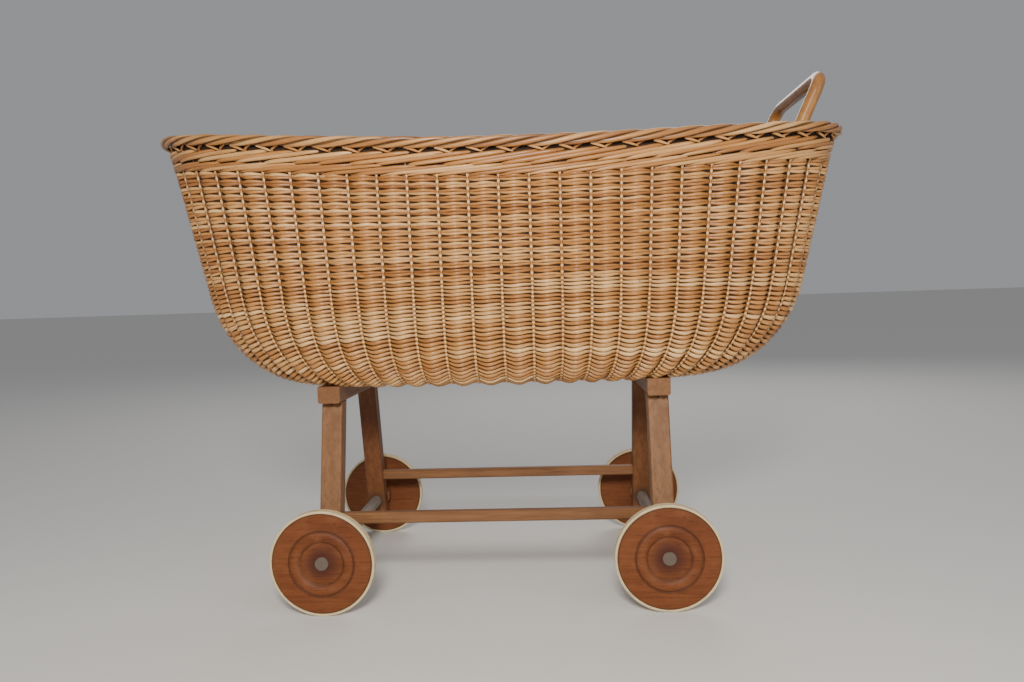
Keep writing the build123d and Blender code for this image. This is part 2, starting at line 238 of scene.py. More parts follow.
# ---------------------------------------------------------------- shader maths
class Value:
    """A number socket in a shader tree; expressions on it add Math nodes."""

    def __init__(self, shader, socket):
        self.shader, self.socket = shader, socket

    def _math(self, operation, *operands):
        return self.shader.node("ShaderNodeMath", {"operation": operation}, *operands)

    def __add__(self, other):
        return self._math("ADD", self, other)

    def __radd__(self, other):
        return self._math("ADD", other, self)

    def __sub__(self, other):
        return self._math("SUBTRACT", self, other)

    def __rsub__(self, other):
        return self._math("SUBTRACT", other, self)

    def __mul__(self, other):
        return self._math("MULTIPLY", self, other)

    def __rmul__(self, other):
        return self._math("MULTIPLY", other, self)

    def __abs__(self):
        return self._math("ABSOLUTE", self)

    def clamp(self):
        return self.shader.node("ShaderNodeClamp", {}, self)

    def band(self, low, high):
        """0 below low, 1 above high, smooth between."""
        return self.shader.node("ShaderNodeMapRange", {"interpolation_type": "SMOOTHSTEP"}, self, low, high)

    def between(self, rise, fall):
        """1 from the end of one band to the start of the next, 0 outside both."""
        return self.band(*rise) * (1 - self.band(*fall))


class Shader:
    """One material's tree, with a method that adds any node."""

    def __init__(self, name):
        self.material = bpy.data.materials.new(name)
        self.material.use_nodes = True
        self.tree = self.material.node_tree
        self.tree.nodes.clear()

    def node(self, kind, settings, *inputs, output=0, **named):
        """Add a node: its settings first, then its sockets by place or name; gives an output if any."""
        made = self.tree.nodes.new(kind)
        for key, value in settings.items():
            if key == "stops":
                ramp = made.color_ramp
                while len(ramp.elements) < len(value):
                    ramp.elements.new(0.5)
                for element, (place, colour) in zip(ramp.elements, value):
                    element.position = place
                    element.color = (*colour, 1)
            else:
                setattr(made, key, value)
        pairs = list(zip(made.inputs, inputs))
        pairs += [(made.inputs[key.replace("_", " ")], value) for key, value in named.items()]
        for socket, value in pairs:
            if isinstance(value, Value):
                self.tree.links.new(value.socket, socket)
            elif value is not None:
                socket.default_value = value
        return Value(self, made.outputs[output]) if made.outputs else None

    def mix(self, factor, first, second):
        """Mix two colours, each a link or three numbers."""
        first, second = (held if isinstance(held, Value) else (*held, 1) for held in (first, second))
        places = (factor, *(None,) * 5, first, second)
        return self.node("ShaderNodeMix", {"data_type": "RGBA"}, *places, output=2)

    def place(self, scale=(1, 1, 1), turn=(0, 0, 0), centre=(0, 0, 0)):
        """Object coordinates, moved to a centre, turned and scaled."""
        found = self.node("ShaderNodeTexCoord", {}, output=3)
        moved = self.node("ShaderNodeVectorMath", {"operation": "SUBTRACT"}, found, centre)
        turned = self.node("ShaderNodeMapping", {}, moved, (0, 0, 0), turn)
        return self.node("ShaderNodeVectorMath", {"operation": "MULTIPLY"}, turned, scale)

    def coordinate(self, axis):
        """Object coordinate along one axis, 0 for X to 2 for Z."""
        return self.node("ShaderNodeSeparateXYZ", {}, self.place(), output=axis)

    def from_axle(self, centre):
        """Distance from a line along Y through a centre."""
        flat = self.place((1, 0, 1), centre=centre)
        return self.node("ShaderNodeVectorMath", {"operation": "LENGTH"}, flat, output=1)

    def ramp(self, value, *stops):
        return self.node("ShaderNodeValToRGB", {"stops": stops}, value)

    def attribute(self, name):
        return self.node("ShaderNodeAttribute", {"attribute_name": name}, output=2)

    def vector(self, x, y, z):
        return self.node("ShaderNodeCombineXYZ", {}, x, y, z)

    def noise(self, vector, scale, detail=4.0, rough=0.55):
        return self.node("ShaderNodeTexNoise", {}, Vector=vector, Scale=scale, Detail=detail, Roughness=rough)

    def bump(self, height, strength, distance):
        return self.node("ShaderNodeBump", {}, Strength=strength, Distance=distance, Height=height)

    def close(self, colour, rough, normal=None, coat=0.0, coat_rough=0.25, specular=0.5, metallic=0.0):
        """End the tree in a Principled shader."""
        surface = self.node(
            "ShaderNodeBsdfPrincipled", {}, Base_Color=colour, Roughness=rough, Normal=normal,
            Coat_Weight=coat, Coat_Roughness=coat_rough, Specular_IOR_Level=specular, Metallic=metallic)
        self.node("ShaderNodeOutputMaterial", {}, surface)
        return self.material


# ---------------------------------------------------------------- finishes
FIBRE_BROWN = (0.16, 0.07, 0.025)
WEAVE_SHADE = (0.028, 0.012, 0.005)
# Painted shade: the two dark colours of the sheet between the rods, in place of the shaded inside of the
# weave.
CREVICE_SHADE, CREVICE_DEEP_SHADE = (0.045, 0.021, 0.010), (0.014, 0.007, 0.003)
CANE_TONES = ((0.25, (0.50, 0.25, 0.075)), (0.5, (0.34, 0.145, 0.036)), (0.8, (0.15, 0.055, 0.015)))
CANE_SCUFF = (0.16, 0.08, 0.03)
CROSSBAR = (0.672, 0.688)              # heights over which the handle's posts turn into its bar
HANDLED_BEECH, SMEARED_BEECH = (0.17, 0.085, 0.05), (0.20, 0.10, 0.055)
AXLE_OIL, AXLE_OIL_SPREAD = (0.07, 0.035, 0.02), (0.007, 0.021)
STAIN_SCUFF, STAIN_SHADE = (0.19, 0.066, 0.024), (0.045, 0.013, 0.005)
HUB_OIL, HUB_OIL_SPREAD = (0.050, 0.011, 0.006), (0.011, 0.031)
RING_DUST, EDGE_DUST = (0.050, 0.024, 0.015), (0.075, 0.030, 0.014)
OUTER_FACE = (0.1865, 0.191)           # distance from the middle at which a disc's outer face begins
TURNED_RING = ((0.0400, 0.0420), (0.0435, 0.0470))
TURNED_STEP = ((0.0255, 0.0285), (0.0295, 0.0335))
DISC_EDGE = (0.0630, 0.0662)
DOWEL_GREY, DOWEL_END, DOWEL_END_FACE = (0.17, 0.145, 0.125), (0.085, 0.058, 0.042), (0.1988, 0.1994)
BOARD_BROWN = (0.23, 0.095, 0.05)
TREAD_DIRT, RUBBER_CRACK = (0.36, 0.30, 0.21), (0.25, 0.20, 0.14)
STEEL, RUST = (0.16, 0.145, 0.13), (0.13, 0.055, 0.025)


def willow(name, lighter=0.0, gloss=0.3):
    """Peeled willow rod: tone by rod, streaks along it, painted shade in the crevices and where it dips, thin
    varnish.
    """
    colours = bpy.context.scene.pram_colours
    s = Shader(name)
    tone, along, around = s.attribute("tone"), s.attribute("along"), s.attribute("around")
    face, depth = s.attribute("face"), s.attribute("depth")
    streaks = s.noise(s.vector(along * 22.0, around * 9.0, tone * 40.0), 1.0, 5.0, 0.6)
    patches = s.noise(s.vector(along * 5.0, around * 0.6, tone * 17.0), 1.0, 3.0, 0.5)
    mixed = (tone * 0.5 + patches * 0.75 + streaks * 0.6 - 0.36 - lighter).clamp()
    colour = s.ramp(mixed, (0.14, tuple(colours.willow_pale)), (0.5, tuple(colours.willow_honey)),
                    (0.92, tuple(colours.willow_red)))
    fibres = s.noise(s.vector(along * 60.0, around * 26.0, tone * 11.0), 1.0, 3.0, 0.7)
    colour = s.mix(fibres.band(0.55, 0.8) * 0.35, colour, FIBRE_BROWN)
    # Painted shade: the rod's top and bottom, where rows meet, and its outer face where it dips into the
    # weave darken towards WEAVE_SHADE.
    open_side = abs(face).band(-0.12, 0.74) * ((depth * face).band(-1.5, 0.0) * 0.5 + 0.5)
    colour = s.mix((1 - open_side) * 0.93, colour, WEAVE_SHADE)
    rough = gloss + streaks * 0.22
    return s.close(colour, rough, s.bump(streaks * 0.5 + fibres * 0.5, 0.35, 0.0004), coat=0.15)


def crevice():
    """Painted shade between the rods: dark mottled colours that stand in for the shaded inside of the weave.
    """
    s = Shader("weave_crevice_shade")
    shade_mottle = s.noise(s.place(), 320.0, 4.0, 0.6)
    return s.close(s.mix(shade_mottle, CREVICE_SHADE, CREVICE_DEEP_SHADE), 0.9, s.bump(shade_mottle, 0.4, 0.0006))


def cane():
    """Bent cane: hard glossy skin, faint lengthwise lines, brown patches, small scuffs."""
    s = Shader("cane_skin")
    spots = s.noise(s.place(), 26.0, 4.0, 0.6)
    bar = s.coordinate(2).band(*CROSSBAR)
    lines = (s.noise(s.place((260, 260, 14)), 1.0, 3.0, 0.6) * (1 - bar)
             + s.noise(s.place((260, 14, 260)), 1.0, 3.0, 0.6) * bar)
    scuffs = s.noise(s.place(centre=(0.4, 0.1, 0)), 190.0, 2.0, 0.5)
    colour = s.ramp(spots * 0.7 + lines * 0.3, *CANE_TONES)
    colour = s.mix(scuffs.band(0.66, 0.74) * 0.5, colour, CANE_SCUFF)
    return s.close(colour, 0.24 + spots * 0.16, s.bump(lines * 0.6 + scuffs * 0.4, 0.25, 0.0005),
                   coat=0.3, coat_rough=0.12)


class Timber(Shader):
    """Plain timber: grain lines along an axis, broad colour drift and pores."""

    LINES_ACROSS, LINES_ALONG, PORES = 150.0, 7.0, 3.2

    def __init__(self, name, base, along, centre=(0, 0, 0), turn=(0, 0, 0), dark=0.35, stain=0.5,
                 coarse=1.0):
        super().__init__(name)
        scale = tuple((self.LINES_ALONG if axis == along else self.LINES_ACROSS) * coarse
                      for axis in range(3))
        self.drift = self.noise(self.place(turn=turn, centre=centre), 9.0, 3.0, 0.5)
        self.grain = self.noise(self.place(scale, turn, centre), 1.0, 5.0, 0.62)
        self.pores = self.noise(self.place(tuple(v * self.PORES for v in scale), turn, centre), 1.0, 2.0, 0.5)
        deep = tuple(c * (1 - dark) for c in base)
        red = (base[0] * 0.72, base[1] * 0.52, base[2] * 0.45)
        pale = tuple(min(1.0, c * 1.4 + 0.004) for c in base)
        colour = self.mix(self.grain.band(0.32, 0.68), pale, base)
        colour = self.mix(self.drift.band(0.42, 0.72) * stain, colour, red)
        self.colour = self.mix(self.pores.band(0.58, 0.72) * 0.75, colour, deep)

    def beech_close(self, colour):
        """End a beech piece's tree: a dull rubbed surface with raised grain."""
        relief = self.bump(self.grain * 0.6 + self.pores * 0.4, 0.4, 0.0007)
        return self.close(colour, 0.42 + self.grain * 0.2, relief, specular=0.3)


def frame_beech(name, along, centre=(0, 0, 0)):
    """Beech of the rails, stretchers, bosses and pegs, with patches worn by hands."""
    s = Timber(name, tuple(bpy.context.scene.pram_colours.beech), along, centre)
    handled = s.noise(s.place(centre=centre), 34.0, 3.0, 0.6)
    return s.beech_close(s.mix(handled.band(0.60, 0.78) * 0.55, s.colour, HANDLED_BEECH))


def wheel_wood(name, centre):
    """Stained disc: level grain, scuffed stain, dark oiled middle and dusty turned rings outside."""
    base = tuple(bpy.context.scene.pram_colours.wheel_stain)
    s = Timber(name, base, 0, centre, dark=0.6, coarse=1.9)
    radius = s.from_axle(centre)
    outer = abs(s.coordinate(1)).band(*OUTER_FACE)
    scuffs = s.noise(s.place((34, 34, 52), centre=centre), 1.0, 5.0, 0.68)
    colour = s.mix(scuffs.band(0.46, 0.72) * (outer * 0.6 + 0.3), s.colour, STAIN_SCUFF)
    colour = s.mix(scuffs.band(0.2, 0.42) * -0.45 + 0.45, colour, STAIN_SHADE)
    hub = (1 - radius.band(*HUB_OIL_SPREAD)) * outer
    ring, step = radius.between(*TURNED_RING) * outer, radius.between(*TURNED_STEP) * outer
    colour = s.mix(hub * (0.30 + scuffs * 0.9).clamp(), colour, HUB_OIL)
    colour = s.mix((ring * 0.5 + step * 0.4).clamp() * (0.4 + s.grain * 0.6), colour, RING_DUST)
    colour = s.mix(radius.band(*DISC_EDGE) * 0.6, colour, EDGE_DUST)
    relief = s.bump(s.grain * 0.5 + s.pores * 0.2 + scuffs * 0.3, 0.45, 0.0007)
    return s.close(colour, 0.46 + s.grain * 0.22, relief, specular=0.28)


def greyed_dowel():
    """Axle dowel: grey, oily and worn."""
    s = Timber("greyed_dowel", DOWEL_GREY, 1, dark=0.5, stain=0.3)
    colour = s.mix(abs(s.coordinate(1)).band(*DOWEL_END_FACE) * 0.8, s.colour, DOWEL_END)
    return s.close(colour, 0.42 + s.grain * 0.25, s.bump(s.grain, 0.4, 0.0005))


def board_wood():
    """Base board: brown timber with its grain lengthwise."""
    s = Timber("base_board_wood", BOARD_BROWN, 0, dark=0.5)
    return s.close(s.colour, 0.5 + s.grain * 0.2, s.bump(s.grain * 0.6 + s.pores * 0.4, 0.35, 0.0006))


def tyre_rubber():
    """Cream rubber gone matt, with grey dirt on the tread and fine cracks."""
    s = Shader("cream_rubber")
    dirt = s.noise(s.place(), 60.0, 5.0, 0.65)
    cracks = s.node("ShaderNodeTexVoronoi", {"feature": "DISTANCE_TO_EDGE"}, Vector=s.place(), Scale=420.0)
    colour = s.mix(dirt.band(0.46, 0.74) * 0.6, tuple(bpy.context.scene.pram_colours.rubber), TREAD_DIRT)
    lines = 1 - cracks.band(0.0, 0.045)
    colour = s.mix(lines * 0.35, colour, RUBBER_CRACK)
    return s.close(colour, 0.55 + dirt * 0.2, s.bump(dirt * 0.6 - lines * 0.5, 0.35, 0.0004))


def dark_steel():
    """Nails and screws: darkened steel with rust in spots."""
    s = Shader("dark_steel")
    rust = s.noise(s.place(), 700.0, 4.0, 0.6)
    return s.close(s.mix(rust.band(0.45, 0.7), STEEL, RUST), 0.35 + rust * 0.4, s.bump(rust, 0.3, 0.0002),
                   metallic=0.8)


# ---------------------------------------------------------------- rods by Geometry Nodes
class Rods:
    """Guide lines for rods: points with the wall's normal, swing phase, radius, tone and length."""

    def __init__(self):
        self.points, self.normals, self.edges = [], [], []
        self.floats = {"phase": [], "rod": [], "tone": [], "along": [], "lift": [], "sway": []}
        self.count = 0

    def add(self, points_mm, normals, rod_mm, tone, closed=False, phase=pi / 2, lift_mm=0.0, sway=1.0):
        """Add a line; rod_mm is its radius, and a phase of a quarter turn has no swing."""
        points = np.asarray(points_mm, float) * MM
        n = len(points)
        steps = np.linalg.norm(np.diff(points, axis=0), axis=1)
        along = np.concatenate([[0], np.cumsum(steps)])
        self.points.append(points)
        self.normals.append(np.broadcast_to(normals, (n, 3)))
        for key, value in (("phase", phase), ("rod", np.asarray(rod_mm, float) * MM), ("tone", tone),
                           ("along", along), ("lift", np.asarray(lift_mm, float) * MM),
                           ("sway", sway)):
            self.floats[key].append(np.broadcast_to(value, (n,)).astype(float))
        index = np.arange(n) + self.count
        pairs = np.stack([index[:-1], index[1:]], 1)
        self.edges.append(pairs if not closed else np.vstack([pairs, [[index[-1], index[0]]]]))
        self.count += n

    def mesh(self, name):
        """The lines as one mesh of edges with their attributes."""
        made = bpy.data.meshes.new(name)
        points = np.concatenate(self.points)
        made.from_pydata(points, np.concatenate(self.edges).tolist(), [])
        normal = made.attributes.new("wall_normal", "FLOAT_VECTOR", "POINT")
        normal.data.foreach_set("vector", np.concatenate(self.normals).astype(np.float32).ravel())
        for key, values in self.floats.items():
            layer = made.attributes.new(key, "FLOAT", "POINT")
            layer.data.foreach_set("value", np.concatenate(values).astype(np.float32))
        return made


class Tree:
    """A Geometry Nodes tree with named inputs and a method that adds any node."""

    def __init__(self, name, inputs):
        self.tree = bpy.data.node_groups.new(name, "GeometryNodeTree")
        face = self.tree.interface
        face.new_socket("Geometry", in_out="INPUT", socket_type="NodeSocketGeometry")
        for label, kind, default in inputs:
            socket = face.new_socket(label, in_out="INPUT", socket_type=kind)
            if default is not None:
                socket.default_value = default
        face.new_socket("Geometry", in_out="OUTPUT", socket_type="NodeSocketGeometry")
        self.source = self.tree.nodes.new("NodeGroupInput")
        self.end = self.tree.nodes.new("NodeGroupOutput")

    def given(self, name):
        """A named input of the tree."""
        return self.source.outputs[name]

    def node(self, kind, settings=(), output=0, **inputs):
        made = self.tree.nodes.new(kind)
        for key, value in dict(settings).items():
            setattr(made, key, value)
        for key, value in inputs.items():
            socket = made.inputs[int(key[1:])] if key[0] == "_" else made.inputs[key.replace("_", " ")]
            if isinstance(value, bpy.types.NodeSocket):
                self.tree.links.new(value, socket)
            else:
                socket.default_value = value
        return made.outputs[output]

    def math(self, operation, first, second=0.0):
        return self.node("ShaderNodeMath", {"operation": operation}, _0=first, _1=second)

    def named(self, name, kind="FLOAT"):
        return self.node("GeometryNodeInputNamedAttribute", {"data_type": kind}, Name=name)

    def store(self, geometry, name, value, kind="FLOAT"):
        """Store a value at the points under a name."""
        return self.node("GeometryNodeStoreNamedAttribute", {"data_type": kind, "domain": "POINT"},
                         Geometry=geometry, Name=name, _3=value)

    def vector_math(self, operation, output=0, **inputs):
        return self.node("ShaderNodeVectorMath", {"operation": operation}, output, **inputs)


TONE_SHIFT = 3.0                       # metres between the wanders of a pale and a dark rod
WANDER_SCALE = 42.0
DEPTH_UNIT = 0.004                     # metres out from the wall's middle that count as a depth of 1


def rod_tree():
    """Rods along guide lines: swing round the stakes, small wander, a round section that swells as the rod
    swings out.
    """
    t = Tree("pram_rods", [
        ("Swing", "NodeSocketFloat", 0.004), ("Squeeze", "NodeSocketFloat", 0.08),
        ("Wander", "NodeSocketFloat", 0.0003), ("Sides", "NodeSocketInt", 6),
        ("Material", "NodeSocketMaterial", None)])
    lines = t.node("GeometryNodeMeshToCurve", _0=t.given("Geometry"))
    phase, normal = t.named("phase"), t.named("wall_normal", "FLOAT_VECTOR")
    wave = t.math("COSINE", phase)
    swing = t.math("MULTIPLY", t.math("MULTIPLY", wave, t.named("sway")), t.given("Swing"))
    out = t.vector_math("SCALE", Vector=normal, Scale=swing)
    up = t.node("ShaderNodeCombineXYZ", Z=t.math("MULTIPLY", t.math("SINE", phase), t.named("lift")))
    place = t.node("GeometryNodeInputPosition")
    apart = t.node("ShaderNodeCombineXYZ", Z=t.math("MULTIPLY", t.named("tone"), TONE_SHIFT))
    noise = t.node("ShaderNodeTexNoise", {"noise_dimensions": "3D"}, output=1, Scale=WANDER_SCALE,
                   Detail=1.0, Vector=t.vector_math("ADD", _0=place, _1=apart))
    centred = t.vector_math("SUBTRACT", _0=noise, _1=(0.5, 0.5, 0.5))
    wander = t.vector_math("SCALE", Vector=centred, Scale=t.given("Wander"))
    offset = t.vector_math("ADD", _0=t.vector_math("ADD", _0=out, _1=up), _1=wander)
    swell = t.math("ADD", 1.0, t.math("MULTIPLY", wave, t.given("Squeeze")))
    homed = t.store(lines, "home", place, "FLOAT_VECTOR")
    moved = t.node("GeometryNodeSetPosition", Geometry=homed, Offset=offset)
    moved = t.store(moved, "core", place, "FLOAT_VECTOR")
    sized = t.store(moved, "thick", t.math("MULTIPLY", t.named("rod"), swell))
    ring = t.node("GeometryNodeCurvePrimitiveCircle", Resolution=t.given("Sides"), Radius=1.0)
    ring = t.store(ring, "around", t.math("DIVIDE", t.node("GeometryNodeInputIndex"), t.given("Sides")))
    solid = t.node("GeometryNodeCurveToMesh", Curve=sized, Profile_Curve=ring, Scale=t.named("thick"),
                   Fill_Caps=True)
    core = t.named("core", "FLOAT_VECTOR")
    for name, start, finish, divisor in (
            ("face", core, place, t.named("thick")),
            ("depth", t.named("home", "FLOAT_VECTOR"), core, DEPTH_UNIT)):
        reach = t.vector_math("SUBTRACT", _0=finish, _1=start)
        outward = t.vector_math("DOT_PRODUCT", output=1, _0=reach, _1=normal)
        solid = t.store(solid, name, t.math("DIVIDE", outward, divisor))
    smooth = t.node("GeometryNodeSetShadeSmooth", Geometry=solid, Shade_Smooth=True)
    real = t.node("GeometryNodeRealizeInstances", Geometry=smooth)
    done = t.node("GeometryNodeSetMaterial", Geometry=real, Material=t.given("Material"))
    t.tree.links.new(done, t.end.inputs[0])
    return t.tree


def grow(name, rods, finish, swing=0.0, squeeze=0.0, wander=0.0009, sides=8, replaces=()):
    """Run the rod tree on guide lines, keep the plain mesh as a piece and put it on the pram."""
    piece = bpy.data.objects.new(name, rods.mesh(name + "_guide"))
    bpy.context.scene.collection.objects.link(piece)
    modifier = piece.modifiers.new("rods", "NODES")
    modifier.node_group = bpy.data.node_groups["pram_rods"]
    values = {"Swing": swing, "Squeeze": squeeze, "Wander": wander, "Sides": sides, "Material": finish}
    for item in modifier.node_group.interface.items_tree:
        if item.item_type == "SOCKET" and item.in_out == "INPUT" and item.name in values:
            modifier[item.identifier] = values[item.name]
    graph = bpy.context.evaluated_depsgraph_get()
    made = bpy.data.meshes.new_from_object(piece.evaluated_get(graph), preserve_all_data_layers=True,
                                           depsgraph=graph)
    piece.modifiers.clear()
    piece.data = made
    made.name = name
    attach(piece, "pram")
    if replaces:
        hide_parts(*replaces)


def rod_tones(rng, count, mean_run):
    """Tone along a row: each rod of the row has one tone, over a run of points."""
    tones = np.empty(count)
    place = 0
    while place < count:
        run = int(mean_run * rng.uniform(0.5, 1.5))
        tones[place:place + run] = rng.beta(1.6, 2.0)
        place += run
    return np.roll(tones, rng.integers(count))


def round_turns(weave):
    """Turn of every point of a line round the basket."""
    count = weave.stakes * weave.samples
    return np.arange(count) * 4 / count


def wave_phase(weave, turns, start=pi):
    """Phase of the swing, one wave from a visible stake to the next, inwards at a visible stake."""
    return turns / 4 * weave.stakes * 2 * pi + start


def stretch(weave, first, reach):
    """Points of a rod that starts at a point and passes a number of stakes, and its shares."""
    along = np.arange(int(reach * weave.samples) + 1)
    return (first + along) % (weave.stakes * weave.samples), along / along[-1], along


# ---------------------------------------------------------------- the basket
WEAVER_REACH = 13                      # visible stakes that one weaver passes on average
LOWER_SWING = 0.92                     # the lower weave's swing as a share of the upper weave's
STAKE_RISES = (10, 20, 31)             # above the wall's top, through the wale to the border
HIDDEN_STAKE = 0.85                    # a hidden stake's width as a share of a visible one's
WALE_ROWS = ((6.0, 3.7, 2.5), (20.4, 4.9, 3.1))   # above the wall's top, climb at each stake, radius
WALE_REACH = 3.4
LINING_RISES = (3.0, 9.2, 15.6, 22.0, 28.0)       # of the rods that line the wale inside
BORDER_STRANDS = 4
BORDER_REACH = 4.2
BORDER_START = radians(-112)           # where on the roll a strand comes up
BORDER_RING = 4.3
STRAND_RADIUS = 3.5


class PRAM_OT_upper_weave(bpy.types.Operator):
    """Weave the upper wall: rows of two rods each, in front of every hidden stake"""
    bl_idname = "pram.upper_weave"
    bl_label = "Upper weave"

    def execute(self, context):
        weave = context.scene.pram_weave
        turns = round_turns(weave)
        phase, grid, rods = wave_phase(weave, turns), WallGrid(turns), Rods()
        rng = np.random.default_rng(weave.seed)
        wave = np.cos(phase)
        for row in range(weave.double_rows):
            share = (row + 0.5) / weave.double_rows
            points, upward, tall = grid.high_row(share)
            normals = line_normals(points, upward)
            up = unit(upward)
            pitch = tall / weave.double_rows
            uneven = rng.normal(0, 0.25) + 0.3 * np.sin(turns * rng.integers(2, 6) * pi / 2 + row)
            for side in (-1, 1):
                spread = side * pitch * (0.2 + 0.05 * wave)
                line = points + up * (spread + uneven * 0.3)[:, None]
                rods.add(line, normals, pitch * 0.25 * rng.uniform(0.93, 1.05),
                         rod_tones(rng, len(turns), weave.samples * WEAVER_REACH),
                         closed=True, phase=phase, lift_mm=0.45)
        grow("weave_upper", rods, willow("willow_upper", 0.02), swing=weave.swing, squeeze=0.13,
             wander=0.0011, sides=6, replaces=("wall_upper",))
        return {"FINISHED"}


class PRAM_OT_lower_weave(bpy.types.Operator):
    """Weave the lower wall: single rods that turn in under the basket to the board"""
    bl_idname = "pram.lower_weave"
    bl_label = "Lower weave"

    def execute(self, context):
        weave = context.scene.pram_weave
        turns = round_turns(weave)
        phase, grid, rods = wave_phase(weave, turns), WallGrid(turns), Rods()
        rng = np.random.default_rng(weave.seed + 1)
        for row in range(weave.single_rows):
            down = (row + 0.5) / weave.single_rows
            share = 1 - (0.82 * down + 0.18 * down**2)
            points, upward, length = grid.low_row(share)
            normals = line_normals(points, upward)
            pitch = length / weave.single_rows * (0.82 + 0.36 * down)
            rod = np.clip(pitch * 0.46, 1.85, 3.3) * rng.uniform(0.95, 1.05)
            rods.add(points, normals, rod, rod_tones(rng, len(turns), weave.samples * WEAVER_REACH),
                     closed=True, phase=phase, lift_mm=0.5 + 0.7 * down, sway=bottom_sway(share))
        grow("weave_lower", rods, willow("willow_lower", 0.08), swing=weave.swing * LOWER_SWING,
             squeeze=0.2, wander=0.0015, sides=6, replaces=("wall_lower",))
        return {"FINISHED"}


class PRAM_OT_stakes(bpy.types.Operator):
    """Stand the stakes from the board to the border, one in view and one hidden in turn"""
    bl_idname = "pram.stakes"
    bl_label = "Stakes"

    def execute(self, context):
        weave = context.scene.pram_weave
        turns = np.arange(weave.stakes * 2) * 2 / weave.stakes
        grid, rods = WallGrid(turns), Rods()
        rng = np.random.default_rng(weave.seed + 2)
        low = np.linspace(0.01, 0.985, weave.single_rows * 2)
        high = np.linspace(0, 1, weave.double_rows * 2 + 1)
        rows = [grid.low_row(share) for share in low] + [grid.high_row(share) for share in high]
        top, upward, _ = rows[-1]
        lines = np.stack([row[0] for row in rows] + [top + unit(upward) * rise for rise in STAKE_RISES])
        normals = np.stack([line_normals(row[0], row[1]) for row in rows]
                           + [line_normals(top, upward)] * len(STAKE_RISES))
        step = np.arange(len(lines))
        # Painted highlight: a visible stake's tone turns pale and dark at every other point, with pale glints
        # on the thicker points.
        glint_tones = np.where(step % 2 == 0, -0.25, 1.15)
        taper = np.linspace(1.08, 0.88, len(lines)) * (1 + 0.24 * (-1) ** step)
        radius = taper * weave.stake_width * MM_IN_METRE / 2
        for index in range(len(turns)):
            shown = index % 2 == 0
            rods.add(lines[:, index], normals[:, index], radius * (1.0 if shown else HIDDEN_STAKE),
                     rng.beta(1.4, 3.2) * 0.35 + glint_tones if shown else 0.8)
        grow("stakes", rods, willow("willow_stake", 0.16, 0.34))
        return {"FINISHED"}


def rim_line(turns, height, proud=0.0):
    """A line round the rim at a mid-length height that follows the sheer; points, normals and up."""
    level = height + MEAN_SHEER
    points = on_wall(turns, level, level, proud)
    for _ in range(SHEER_ROUNDS):
        tall = height + sheer(points[:, 0])
        points = on_wall(turns, tall, level, proud)
    upward = unit(points - on_wall(turns, tall - SLOPE_STEP, level, proud))
    return points, line_normals(points, upward), upward


class PRAM_OT_wale(bpy.types.Operator):
    """Lay the two wale rows of long rods that pass three stakes as they climb, and their lining"""
    bl_idname = "pram.wale"
    bl_label = "Wale"

    def execute(self, context):
        weave = context.scene.pram_weave
        rods = Rods()
        rng = np.random.default_rng(weave.seed + 3)
        turns = round_turns(weave)
        for rise, climb_each, rod in WALE_ROWS:
            points, normals, up = rim_line(turns, WALL_TOP + rise)
            for index in range(weave.stakes):
                first = index * weave.samples + rng.integers(-1, 2)
                at, share, _ = stretch(weave, first, WALE_REACH)
                climb = (share - 0.5) * WALE_REACH * climb_each + rng.normal(0, 0.25)
                out = np.interp(share, (0, 0.1, 0.2, 0.85, 1), (-2.5, 2.0, 3.7, 4.3, -1.5))
                line = points[at] + up[at] * climb[:, None] + normals[at] * out[:, None]
                taper = np.interp(share, (0, 0.12, 0.8, 1), (0.7, 1, 1, 0.7))
                rods.add(line, normals[at], rod * taper * rng.uniform(0.95, 1.05), rng.beta(1.5, 2.2))
        for rise in LINING_RISES:
            points, normals, _ = rim_line(turns, WALL_TOP + rise)
            line = points - normals * (2.6 + 0.8 * np.cos(wave_phase(weave, turns, rise)))[:, None]
            rods.add(line, -normals, 3.2, rod_tones(rng, len(turns), weave.samples * 9), closed=True)
        grow("wale_rods", rods, willow("willow_wale", 0.02), wander=0.0008, replaces=("wale_band",))
        return {"FINISHED"}


class PRAM_OT_border(bpy.types.Operator):
    """Roll the border: every stake laid over its neighbours as one strand of a rope"""
    bl_idname = "pram.border"
    bl_label = "Border"

    def execute(self, context):
        weave = context.scene.pram_weave
        rods = Rods()
        rng = np.random.default_rng(weave.seed + 4)
        points, normals, up = rim_line(round_turns(weave), BORDER_LOW + BORDER_RADIUS,
                                       MIDDLE_INSET + BORDER_OVERHANG)
        for index in range(weave.stakes):
            at, share, along = stretch(weave, index * weave.samples, BORDER_REACH)
            angle = BORDER_START + along / weave.samples / BORDER_STRANDS * 2 * pi + rng.normal(0, 0.05)
            ring = BORDER_RING + rng.normal(0, 0.12)
            round_roll = normals[at] * np.cos(angle)[:, None] + up[at] * np.sin(angle)[:, None]
            taper = np.interp(share, (0, 0.1, 0.75, 1), (0.6, 1, 0.98, 0.45))
            rods.add(points[at] + round_roll * ring, round_roll,
                     STRAND_RADIUS * taper * rng.uniform(0.94, 1.04), rng.beta(1.6, 2.1))
        grow("border_roll", rods, willow("willow_border", -0.02, 0.26), wander=0.0005, sides=10,
             replaces=("rim_border",))
        return {"FINISHED"}


def closed_sheet(name, rows, thick, material):
    """A closed thin sheet round the basket from rows of points, thick on its inner side, in mm."""
    rows = np.asarray(rows)
    count, around = rows.shape[:2]
    inward = np.stack([line_normals(row, rows[min(k + 1, count - 1)] - rows[max(k - 1, 0)])
                       for k, row in enumerate(rows)])
    points = np.concatenate([rows, (rows - inward * thick)[::-1]]).reshape(-1, 3) * MM
    faces = []
    for k in range(2 * count):
        low, high = k * around, (k + 1) % (2 * count) * around
        faces += [(low + i, low + (i + 1) % around, high + (i + 1) % around, high + i)
                  for i in range(around)]
    made = bpy.data.meshes.new(name)
    made.from_pydata(points, [], faces)
    made.materials.append(material)
    made.shade_smooth()
    piece = bpy.data.objects.new(name, made)
    bpy.context.scene.collection.objects.link(piece)
    return piece


